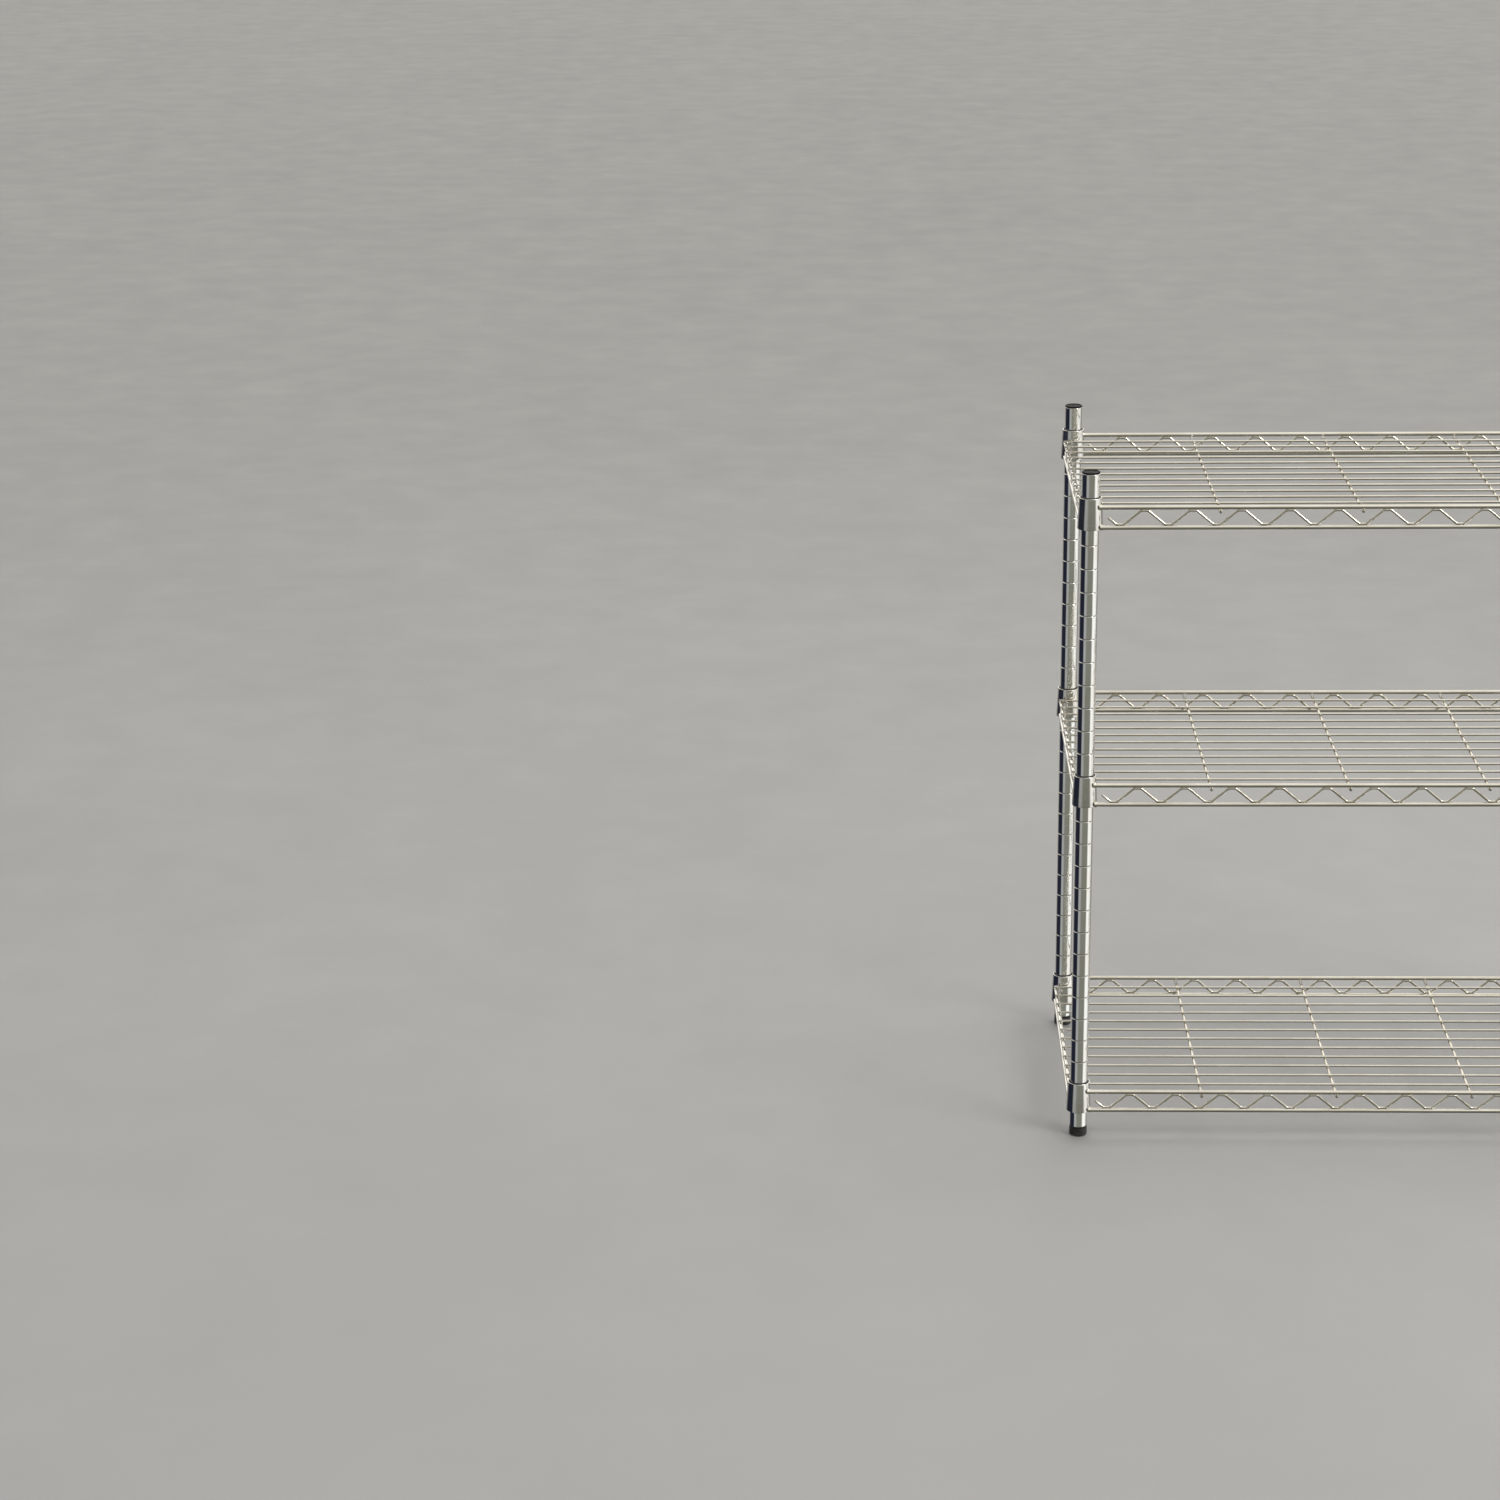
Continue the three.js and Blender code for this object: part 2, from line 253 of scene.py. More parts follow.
def rod(builder, path, radius, sides, edge, end_soil=0.6, radii=None, settle=None):
    """A round wire along a path, with chamfered cut ends. radii gives a factor for each path point,
    and settle moves each point of its skin to where it may lie."""
    across = Vector((0, 0, 1))
    if abs((path[1] - path[0]).normalized().z) > 0.9:
        across = Vector((0, 1, 0))
    stations = []
    count = len(path)
    for i, point in enumerate(path):
        tangent = (path[min(i + 1, count - 1)] - path[max(i - 1, 0)]).normalized()
        across = (across - tangent * across.dot(tangent)).normalized()
        scale = radii[i] if radii else 1
        stations.append((point, tangent, across.copy(), radius * scale, 0.0))
    first, last = stations[0], stations[-1]
    stations[0] = (first[0] + first[1] * edge, *first[1:])
    stations[-1] = (last[0] - last[1] * edge, *last[1:])
    stations.insert(0, (first[0], first[1], first[2], first[3] - edge, end_soil))
    stations.append((last[0], last[1], last[2], last[3] - edge, end_soil))
    rings = []
    for point, tangent, side, r, grime_and_shade in stations:
        other = tangent.cross(side)
        ring = []
        for k in range(sides):
            angle = 2 * math.pi * k / sides
            ring.append(point + side * (r * math.cos(angle)) + other * (r * math.sin(angle)))
        rings.append(builder.ring([settle(p) for p in ring] if settle else ring, grime_and_shade))
    for low, high in zip(rings, rings[1:]):
        builder.bridge(low, high)
    builder.fill(rings[0], flip=True)
    builder.fill(rings[-1])


def bead(builder, centre, size, rng, soil_and_shade=0.45, rings=7, sides=12, settle=None):
    """A small weld bead: an ellipsoid with an uneven skin."""
    first = len(builder.points)
    stacks = []
    for stack in range(1, rings):
        polar = math.pi * stack / rings
        points = []
        for side in range(sides):
            angle = 2 * math.pi * side / sides
            lump = 1 + rng.uniform(-0.07, 0.07)
            points.append(centre + Vector((
                size[0] * lump * math.sin(polar) * math.cos(angle),
                size[1] * lump * math.sin(polar) * math.sin(angle),
                -size[2] * lump * math.cos(polar))))
        stacks.append(builder.ring(points, soil_and_shade))
    for low, high in zip(stacks, stacks[1:]):
        builder.bridge(low, high)
    bottom = builder.ring([centre - Vector((0, 0, size[2]))], soil_and_shade)[0]
    top = builder.ring([centre + Vector((0, 0, size[2]))], soil_and_shade)[0]
    for i in range(sides):
        j = (i + 1) % sides
        builder.faces.append((stacks[0][j], stacks[0][i], bottom))
        builder.faces.append((stacks[-1][i], stacks[-1][j], top))
    if settle:
        builder.points[first:] = [settle(p) for p in builder.points[first:]]


# ---- materials -------------------------------------------------------------------------------
# The first colour is the dull metal of welds and cut ends, and it is also painted as shade into the chrome's
# grooves and bores.
DULL_METAL_AND_SHADE = (0.20, 0.185, 0.16)
DUST = (0.13, 0.125, 0.115)
OIL = (0.10, 0.09, 0.08)


def new_material(name):
    material = bpy.data.materials.new(name)
    material.use_nodes = True
    tree = material.node_tree
    shader = tree.nodes["Principled BSDF"]
    place = tree.nodes.new("ShaderNodeTexCoord")
    return material, tree, shader, place.outputs["Object"]


def noise(tree, vector, scale, detail=4.0, roughness=0.55, stretch=None):
    if stretch:
        mapping = tree.nodes.new("ShaderNodeMapping")
        mapping.inputs["Scale"].default_value = stretch
        tree.links.new(vector, mapping.inputs["Vector"])
        vector = mapping.outputs["Vector"]
    node = tree.nodes.new("ShaderNodeTexNoise")
    node.inputs["Scale"].default_value = scale
    node.inputs["Detail"].default_value = detail
    node.inputs["Roughness"].default_value = roughness
    tree.links.new(vector, node.inputs["Vector"])
    return node.outputs["Fac"]


def remap(tree, value, low, high, to_low, to_high):
    node = tree.nodes.new("ShaderNodeMapRange")
    node.inputs["From Min"].default_value = low
    node.inputs["From Max"].default_value = high
    node.inputs["To Min"].default_value = to_low
    node.inputs["To Max"].default_value = to_high
    tree.links.new(value, node.inputs["Value"])
    return node.outputs["Result"]


def math_node(tree, operation, a, b):
    node = tree.nodes.new("ShaderNodeMath")
    node.operation = operation
    for socket, value in zip(node.inputs, (a, b)):
        if isinstance(value, (int, float)):
            socket.default_value = value
        else:
            tree.links.new(value, socket)
    return node.outputs["Value"]


def mix_colour(tree, factor, a, b):
    node = tree.nodes.new("ShaderNodeMix")
    node.data_type = "RGBA"
    tree.links.new(factor, node.inputs["Factor"])
    for socket, value in ((node.inputs[6], a), (node.inputs[7], b)):
        if isinstance(value, tuple):
            socket.default_value = (*value, 1)
        else:
            tree.links.new(value, socket)
    return node.outputs[2]


# Reads the per-vertex soiling and painted shade.
def soil_and_shade_value(tree):
    node = tree.nodes.new("ShaderNodeAttribute")
    node.attribute_name = "soil_and_shade"
    return node.outputs["Fac"]


def bump(tree, shader, height, strength, distance):
    node = tree.nodes.new("ShaderNodeBump")
    node.inputs["Strength"].default_value = strength
    node.inputs["Distance"].default_value = distance
    tree.links.new(height, node.inputs["Height"])
    tree.links.new(node.outputs["Normal"], shader.inputs["Normal"])


def chrome_material(name, light, warm, roughness, orange_peel):
    """Chrome plate: faint cloudiness, handling marks, a slightly uneven skin, dull welds and cut ends, and
    painted shade that darkens and dulls the grooves and bores.
    """
    material, tree, shader, place = new_material(name)
    shader.inputs["Metallic"].default_value = 1.0
    cloud = remap(tree, noise(tree, place, 22, 5), 0.38, 0.62, 0, 1)
    tint = mix_colour(tree, cloud, light, warm)
    speck = remap(tree, noise(tree, place, 1100, 2), 0.70, 0.78, 0, 0.3)
    # The per-vertex mask darkens real welds and cut ends, and also paints shade into the grooves and bores.
    grime_and_shade = math_node(tree, "MAXIMUM", soil_and_shade_value(tree), speck)
    breakup = remap(tree, noise(tree, place, 260, 4), 0.3, 0.7, 0.35, 1)
    grime_and_shade = math_node(tree, "MULTIPLY", grime_and_shade, breakup)
    colour = mix_colour(tree, grime_and_shade, tint, DULL_METAL_AND_SHADE)
    tree.links.new(colour, shader.inputs["Base Color"])
    handling = remap(tree, noise(tree, place, 60, 6, 0.65), 0.35, 0.7, roughness, roughness + 0.09)
    rough = math_node(tree, "ADD", handling, math_node(tree, "MULTIPLY", grime_and_shade, 0.32))
    tree.links.new(rough, shader.inputs["Roughness"])
    skin = noise(tree, place, 320, 3)
    scratch = noise(tree, place, 160, 2, stretch=(1, 1, 14))
    height = math_node(tree, "ADD", skin, math_node(tree, "MULTIPLY", scratch, 0.5))
    bump(tree, shader, height, orange_peel, 0.0004)
    return material


def plastic_material(name, base, lighter, gloss, roughness, grain):
    """Moulded black plastic with a fine spark grain, paler blotches and dust in the hollows."""
    material, tree, shader, place = new_material(name)
    shader.inputs["Specular IOR Level"].default_value = gloss
    blotch = remap(tree, noise(tree, place, 180, 4), 0.35, 0.7, 0, 1)
    tint = mix_colour(tree, blotch, base, lighter)
    soil_and_shade = soil_and_shade_value(tree)
    patchy = remap(tree, noise(tree, place, 520, 3), 0.35, 0.65, 0.1, 0.6)
    dust = math_node(tree, "MULTIPLY", soil_and_shade, patchy)
    tree.links.new(mix_colour(tree, dust, tint, DUST), shader.inputs["Base Color"])
    rough = remap(tree, noise(tree, place, 300, 5), 0.3, 0.7, roughness - 0.06, roughness + 0.1)
    dusty = math_node(tree, "ADD", rough, math_node(tree, "MULTIPLY", dust, 0.4))
    tree.links.new(dusty, shader.inputs["Roughness"])
    bump(tree, shader, noise(tree, place, 2600, 2), grain, 0.0002)
    return material


def zinc_material(name):
    """Bright zinc plate on a rolled thread: cool grey with a yellowish cast in patches."""
    material, tree, shader, place = new_material(name)
    shader.inputs["Metallic"].default_value = 1.0
    patch = remap(tree, noise(tree, place, 140, 5), 0.35, 0.65, 0, 1)
    tint = mix_colour(tree, patch, (0.52, 0.54, 0.56), (0.60, 0.57, 0.48))
    oil = math_node(tree, "MULTIPLY", soil_and_shade_value(tree), 0.8)
    tree.links.new(mix_colour(tree, oil, tint, OIL), shader.inputs["Base Color"])
    tree.links.new(remap(tree, noise(tree, place, 400, 4), 0.3, 0.7, 0.28, 0.45), shader.inputs["Roughness"])
    bump(tree, shader, noise(tree, place, 1500, 3), 0.25, 0.0003)
    return material


MATERIALS = {
    "post_chrome": chrome_material(
        "post_chrome_plate", (0.78, 0.79, 0.78), (0.74, 0.73, 0.69), roughness=0.04, orange_peel=0.008),
    "end_chrome": chrome_material(
        "collar_chrome_plate", (0.77, 0.77, 0.75), (0.72, 0.70, 0.66), roughness=0.06, orange_peel=0.015),
    "wire_chrome": chrome_material(
        "wire_chrome_plate", (0.71, 0.69, 0.63), (0.63, 0.60, 0.53), roughness=0.09, orange_peel=0.012),
    "cap_plastic": plastic_material(
        "cap_moulded_black", (0.007, 0.007, 0.008), (0.013, 0.013, 0.014),
        gloss=0.02, roughness=0.3, grain=0.06),
    "sleeve_plastic": plastic_material(
        "sleeve_moulded_black", (0.016, 0.016, 0.018), (0.03, 0.03, 0.033),
        gloss=0.25, roughness=0.42, grain=0.12),
    "insert_plastic": plastic_material(
        "insert_moulded_black", (0.018, 0.018, 0.02), (0.035, 0.034, 0.036),
        gloss=0.25, roughness=0.45, grain=0.12),
    "foot_plastic": plastic_material(
        "foot_moulded_black", (0.011, 0.011, 0.011), (0.024, 0.023, 0.023),
        gloss=0.3, roughness=0.36, grain=0.12),
    "stud_steel": zinc_material("stud_zinc_plate"),
}


def place_piece(builder, node, suffix, slot, body, sharp_angle=MOULDED_CREASE):
    piece = builder.finish(f"{node}_{suffix}", MATERIALS[slot], sharp_angle)
    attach(piece, body)
    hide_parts(node)


def middle_of(node):
    low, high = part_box(node)
    return (low + high) / 2


def axis_of(low, high):
    """Where the vertical through the middle of a box meets the floor."""
    return Vector(((low.x + high.x) / 2, (low.y + high.y) / 2, 0))


def add_plug_ribs(builder, centre, count, turned_by, reach, bottom, top, radius):
    """Thin crush ribs down the side of a plug."""
    for rib in range(count):
        angle = 2 * math.pi * (rib + turned_by) / count
        at = centre + Vector((math.cos(angle), math.sin(angle), 0)) * reach
        path = [at + Vector((0, 0, bottom)), at + Vector((0, 0, top))]
        rod(builder, path, radius, 8, edge=0.08 * MM)


# ---- posts, caps and levelling feet ----------------------------------------------------------
def make_post(corner):
    """A chromed tube with a rolled groove every inch, open at both ends."""
    node = f"post_{corner}"
    low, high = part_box(node)
    radius = (high.y - low.y) / 2
    # The inner wall is darkened as painted shade inside the tube.
    profile = [
        (radius - POST_WALL, low.z, 0.5),
        (radius - POST_EDGE, low.z, 0.4),
        (radius, low.z + POST_EDGE, 0.1),
        (radius, low.z + POST_EDGE + SUPPORT, 0.0),
    ]
    # Each groove valley is darkened by its depth: painted shade in the groove.
    for groove in reversed(range(GROOVE_COUNT)):
        level = high.z - FIRST_GROOVE - groove * INCH
        profile.append((radius, level - GROOVE_HALF - SUPPORT, 0.0))
        for step in range(-GROOVE_STEPS, GROOVE_STEPS + 1):
            share = step / GROOVE_STEPS
            depth = GROOVE_DEPTH * (0.5 + 0.5 * math.cos(math.pi * share))
            profile.append((radius - depth, level + share * GROOVE_HALF, 0.8 * depth / GROOVE_DEPTH))
        profile.append((radius, level + GROOVE_HALF + SUPPORT, 0.0))
    profile += [
        (radius, high.z - POST_EDGE - SUPPORT, 0.0),
        (radius, high.z - POST_EDGE, 0.0),
        (radius - POST_EDGE, high.z, 0.1),
        (radius - POST_WALL, high.z, 0.3),
    ]
    builder = Builder()
    turn(builder, profile, axis_of(low, high))
    place_piece(builder, node, "tube", "post_chrome", "frame", METAL_CREASE)


def make_cap(corner):
    """A push-in end cap: a plug with a rim over the tube's edge and a shallow dished top."""
    node = f"cap_{corner}"
    low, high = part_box(node)
    centre = axis_of(low, high)
    post_low, post_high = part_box(f"post_{corner}")
    radius = (post_high.y - post_low.y) / 2
    plug = radius - POST_WALL - CAP_PLUG_PLAY
    rim = radius + CAP_PROUD
    under = post_high.z + 0.05 * MM
    hollow_top = under - CAP_PLUG_WALL
    profile = rounded([
        (plug - CAP_PLUG_WALL, low.z, 0.2 * MM, 0.2),
        (plug - 0.4 * MM, low.z, 0.3 * MM, 0.2),
        (plug, low.z + 2 * MM, 0, 0.2),
        (plug, under, 0, 0.3),
        (rim, under, 0.15 * MM, 0.3),
        (rim, high.z, 0.55 * MM, 0.0),
        (radius - 2.0 * MM, high.z, 0.5 * MM, 0.0),
        (radius - 2.7 * MM, high.z - 0.65 * MM, 0.3 * MM, 0.35),
        (2.0 * MM, high.z - 0.75 * MM, 0, 0.15),
        (1.2 * MM, high.z - 0.55 * MM, 0.2 * MM, 0.05),
        (0, high.z - 0.5 * MM, 0, 0.05),
        (0, hollow_top, 0, 0.1),
        (plug - CAP_PLUG_WALL, hollow_top, 0.4 * MM, 0.1),
    ])
    start = next(i for i, (r, z, _) in enumerate(profile) if r <= 0 and z == hollow_top)
    builder = Builder()
    turn(builder, profile[start:] + profile[:start], centre, closed=False)
    ribs_bottom = low.z + 2.5 * MM
    ribs_top = under - 0.6 * MM
    add_plug_ribs(builder, centre, CAP_PLUG_RIBS, 0.5, plug + CAP_PROUD, ribs_bottom, ribs_top, 0.22 * MM)
    place_piece(builder, node, "push_in", "cap_plastic", "frame")


def make_insert(corner):
    """The threaded insert: a lip under the tube's edge, a ribbed plug, and a thread down its whole bore."""
    node = f"insert_{corner}"
    low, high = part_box(node)
    centre = axis_of(low, high)
    lip = (high.y - low.y) / 2
    post_low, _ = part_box(f"post_{corner}")
    plug = lip - POST_WALL - INSERT_PLUG_PLAY
    lip_top = post_low.z - 0.08 * MM
    profile = rounded([
        (INSERT_HOLE, low.z, 0.3 * MM, 0.5),
        (lip, low.z, 0.35 * MM, 0.3),
        (lip, lip_top, 0.2 * MM, 0.3),
        (plug, lip_top, 0, 0.4),
        (plug - 0.3 * MM, high.z, 0.4 * MM, 0.2),
        (INSERT_HOLE, high.z, 0.3 * MM, 0.2),
    ])
    threads = int((high.z - low.z) / STUD_PITCH) - 1
    for thread in reversed(range(threads)):
        level = low.z + (thread + 1) * STUD_PITCH
        profile.append((INSERT_HOLE + INSERT_THREAD_DEPTH, level + STUD_PITCH / 4, 0.7))
        profile.append((INSERT_HOLE, level - STUD_PITCH / 4, 0.3))
    builder = Builder()
    turn(builder, profile, centre)
    ribs_bottom = lip_top + 0.8 * MM
    ribs_top = high.z - 1.5 * MM
    add_plug_ribs(builder, centre, INSERT_PLUG_RIBS, 0, plug, ribs_bottom, ribs_top, 0.2 * MM)
    place_piece(builder, node, "threaded", "insert_plastic", "frame")


def make_stud(corner):
    """A stud with its rolled helical thread and chamfered ends."""
    node = f"stud_{corner}"
    low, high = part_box(node)
    centre = axis_of(low, high)
    crest = (high.y - low.y) / 2
    root = crest - STUD_THREAD_DEPTH
    turns = (high.z - low.z) / STUD_PITCH
    rows = int(turns * STUD_ROWS_PER_TURN)
    builder = Builder()
    rings = []
    for row in range(rows + 1):
        level = low.z + (high.z - low.z) * row / rows
        from_end = min(level - low.z, high.z - level)
        points = []
        for side in range(STUD_SIDES):
            angle = 2 * math.pi * side / STUD_SIDES
            phase = ((level - low.z) / STUD_PITCH - side / STUD_SIDES) % 1
            ridge = min(1, max(0, 1.25 - 2.75 * abs(phase - 0.5)))
            r = min(root + (crest - root) * ridge, crest - STUD_CHAMFER + from_end)
            points.append(centre + Vector((r * math.cos(angle), r * math.sin(angle), level)))
        rings.append(builder.ring(points, 0.25))
    for below, above in zip(rings, rings[1:]):
        builder.bridge(below, above)
    builder.fill(rings[0], flip=True)
    builder.fill(rings[-1])
    place_piece(builder, node, "thread", "stud_steel", f"leveller_{corner}")


def with_side_rows(profile, radius, rows=8):
    """The profile with extra rows down the drum's side, for its grips."""
    filled = []
    for here, after in zip(profile, profile[1:] + profile[:1]):
        filled.append(here)
        on_side = here[0] > radius - 0.5 * MM and after[0] > radius - 1.0 * MM
        if on_side and after[1] - here[1] > 1.5 * MM:
            for row in range(1, rows):
                t = row / rows
                filled.append(tuple(a + (b - a) * t for a, b in zip(here, after)))
    return filled


def make_foot(corner):
    """The moulded foot: a slightly drafted drum, a grooved grip band, and a flat sole with a rounded edge."""
    node = f"foot_{corner}"
    low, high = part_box(node)
    radius = (high.y - low.y) / 2
    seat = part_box(f"stud_{corner}")[0].z - FOOT_SEAT_PLAY
    profile = rounded([
        (0, low.z, 0, 0.6),
        (radius - 0.4 * MM, low.z, FOOT_SOLE, 0.7),
        (radius, low.z + 2.2 * MM, 0, 0.35),
        (radius - 0.15 * MM, high.z, 0.7 * MM, 0.1),
        (FOOT_HOLE + 0.8 * MM, high.z, 0.3 * MM, 0.3),
        (FOOT_HOLE, high.z - 0.5 * MM, 0, 0.4),
        (FOOT_HOLE, seat, 0, 0.4),
        (0, seat, 0, 0.4),
    ], 5)
    band_middle = (low.z + high.z) / 2 + 0.6 * MM
    band_half = 3.0 * MM
    band_bottom = low.z + 1.6 * MM

    def grip(angle, height):
        if height <= band_bottom:
            return 0
        band = max(0, 1 - ((height - band_middle) / band_half) ** 4)
        return -FOOT_GRIP_DEPTH * band * (0.5 + 0.5 * math.cos(angle * FOOT_GRIPS))

    builder = Builder()
    side_rows = with_side_rows(profile, radius)
    turn(builder, side_rows, axis_of(low, high), sides=FOOT_SIDES, closed=False, wobble=grip)
    place_piece(builder, node, "pad", "foot_plastic", f"leveller_base_{corner}")


# ---- shelf corners ---------------------------------------------------------------------------
def collar_levels(shelf):
    low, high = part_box(f"end_left_{shelf}")
    return low.z, high.z


def collar_radius(level, bottom, top):
    share = (top - level) / (top - bottom)
    return COLLAR_RADIUS_TOP + (COLLAR_RADIUS_BOTTOM - COLLAR_RADIUS_TOP) * share


def add_collar(builder, centre, bottom, top):
    """The tapered corner tube that drops over the sleeve, with softly rounded rims."""
    outer_top = collar_radius(top, bottom, top)
    outer_bottom = collar_radius(bottom, bottom, top)
    # The bore is darkened as painted shade inside the collar. The outside is darker towards the bottom.
    profile = rounded([
        (outer_bottom - COLLAR_WALL, bottom, 0.45 * MM, 0.5),
        (outer_bottom, bottom, 0.5 * MM, 0.25),
        (outer_top, top, 0.5 * MM, 0.05),
        (outer_top - COLLAR_WALL, top, 0.5 * MM, 0.3),
    ])
    turn(builder, profile, centre)


def make_sleeve_half(shelf, corner, part):
    """Half of the tapered sleeve: rounded rims, and an inner ridge that lies in a groove of the post."""
    node = f"sleeve_{shelf}_{corner}_{part}"
    low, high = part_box(node)
    post_low, post_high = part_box(f"post_{corner}")
    centre = axis_of(post_low, post_high)
    bottom, top = collar_levels(shelf)
    bore = (post_high.y - post_low.y) / 2 + SLEEVE_BORE_PLAY
    groove = top - INCH
    facing = 1 if (low.y + high.y) / 2 > centre.y else -1

    def skin(level):
        return collar_radius(level, bottom, top) - COLLAR_WALL - SLEEVE_PLAY

    profile = rounded([
        (bore, low.z, 0.2 * MM, 0.3),
        (skin(low.z), low.z, 0.5 * MM, 0.3),
        (skin(high.z), high.z, 0.25 * MM, 0.25),
        (bore, high.z, 0.2 * MM, 0.4),
        (bore, groove + GROOVE_HALF, 0, 0.2),
        (bore - GROOVE_DEPTH, groove, 0.3 * MM, 0.2),
        (bore, groove - GROOVE_HALF, 0, 0.2),
    ])
    gap = math.asin(SLEEVE_HALF_SLOT / bore)
    builder = Builder()
    rings = []
    for step in range(SLEEVE_STEPS + 1):
        angle = gap + (math.pi - 2 * gap) * step / SLEEVE_STEPS
        out = Vector((math.cos(angle), facing * math.sin(angle), 0))
        points = [centre + out * r + Vector((0, 0, z)) for r, z, _ in profile]
        ring = builder.ring(points)
        for index, (_, _, soil_and_shade) in zip(ring, profile):
            builder.soil_and_shade[index] = soil_and_shade
        rings.append(ring)
    for before, after in zip(rings, rings[1:]):
        if facing > 0:
            builder.bridge(after, before)
        else:
            builder.bridge(before, after)
    first, last = (rings[0], rings[-1]) if facing > 0 else (rings[-1], rings[0])
    builder.fill(first)
    builder.fill(last, flip=True)
    place_piece(builder, node, "moulded", "sleeve_plastic", "frame")


# ---- shelves ---------------------------------------------------------------------------------
def zigzag_corners(span, depth, place):
    """Corner points of the zigzag wire between the two wires of a truss, and where it is welded."""
    high = WELD_DEPTH - FRAME_WIRE - ZIGZAG_WIRE
    low = -depth - high
    gaps = round((span - 2 * ZIGZAG_FIRST) / ZIGZAG_PITCH)
    pitch = (span - 2 * ZIGZAG_FIRST) / gaps
    slope = pitch / 2 - ZIGZAG_FLAT
    start = ZIGZAG_FIRST - ZIGZAG_FLAT / 2 - slope / 2
    middle = (high + low) / 2
    points = [place(start, middle)]
    welds = []
    for gap in range(gaps + 1):
        bottom = ZIGZAG_FIRST + gap * pitch
        points += [place(bottom - ZIGZAG_FLAT / 2, low), place(bottom + ZIGZAG_FLAT / 2, low)]
        welds.append(place(bottom, low - ZIGZAG_WIRE + WELD_DEPTH / 2))
        if gap < gaps:
            top = bottom + pitch / 2
            points += [place(top - ZIGZAG_FLAT / 2, high), place(top + ZIGZAG_FLAT / 2, high)]
            welds.append(place(top, high + ZIGZAG_WIRE - WELD_DEPTH / 2))
    points.append(place(span - start, middle))
    return points, welds


def outside_collars(centres, bottom, top):
    """Gives a function that moves a point out of the collars' bores, to the middle of their walls."""
    def settle(point):
        limit = collar_radius(point.z, bottom, top) - COLLAR_WALL / 2
        for centre in centres:
            offset = Vector((point.x - centre.x, point.y - centre.y))
            if offset.length < limit:
                offset = offset.normalized() * limit
                return Vector((centre.x + offset.x, centre.y + offset.y, point.z))
        return point
    return settle


def add_frame_wire(builder, start, end, inward, settle, rng):
    """A truss wire whose two ends are welded to the collars' sides. inward points to the post line."""
    along = (end - start).normalized()
    length = (end - start).length
    swell = [(0, 1.16), (0.8 * MM, 1.14), (1.8 * MM, 1.07), (3.2 * MM, 1.0)]
    stations = swell + [(length * k / TRUSS_STEPS, 1.0) for k in range(1, TRUSS_STEPS)]
    stations += [(length - at, factor) for at, factor in reversed(swell)]
    path = [start + along * at for at, _ in stations]
    rod(builder, path, FRAME_WIRE, WIRE_SIDES, edge=0.4 * MM, end_soil=0.2, settle=settle,
        radii=[factor for _, factor in stations])
    for corner, way in ((start, along), (end, -along)):
        for lift in (-1.3 * MM, 1.2 * MM):
            level = Vector((0, 0, lift + rng.uniform(-0.2, 0.2) * MM))
            at = corner + way * 1.6 * MM + inward * 1.1 * MM + level
            bead(builder, at, TRUSS_WELD, rng, soil_and_shade=0.12, rings=9, sides=16, settle=settle)


def collar_chord(level, bottom, top):
    """From a post's centre line along a truss to where the collar's skin passes the truss wire's middle."""
    return math.sqrt(collar_radius(level, bottom, top) ** 2 - TRUSS_OFFSET ** 2) - 0.4 * MM


def add_zigzag(builder, span, depth, place, along, rng):
    corners, welds = zigzag_corners(span, depth, place)
    rod(builder, bent_path(corners, BEND_RADIUS), ZIGZAG_WIRE, THIN_SIDES, edge=0.2 * MM)
    size = along * 1.5 * MM + Vector((abs(along.y), abs(along.x), 0)) * 1.4 * MM + Vector((0, 0, 0.7 * MM))
    for weld in welds:
        for shift in (-1.2 * MM, 1.3 * MM):
            bead(builder, weld + along * (shift + rng.uniform(-0.3, 0.3) * MM), size, rng)


def make_long_truss(shelf, side, rng):
    """Front or back truss: two straight wires with a bent zigzag welded between them."""
    node = f"truss_{side}_{shelf}"
    middle = middle_of(node)
    left = middle_of(f"post_{side}_left")
    right = middle_of(f"post_{side}_right")
    bottom, top = collar_levels(shelf)
    settle = outside_collars((left, right), bottom, top)
    inward = Vector((0, math.copysign(1, left.y - middle.y), 0))
    top_level = middle.z + TRUSS_DEPTH / 2
    builder = Builder()
    for level in (top_level, top_level - TRUSS_DEPTH):
        chord = collar_chord(level, bottom, top)
        start = Vector((left.x + chord, middle.y, level))
        end = Vector((right.x - chord, middle.y, level))
        add_frame_wire(builder, start, end, inward, settle, rng)

    def place(along, below):
        return Vector((left.x + along, middle.y, top_level + below))

    add_zigzag(builder, right.x - left.x, TRUSS_DEPTH, place, Vector((1, 0, 0)), rng)
    place_piece(builder, node, "wire", "wire_chrome", f"shelf_{shelf}", METAL_CREASE)


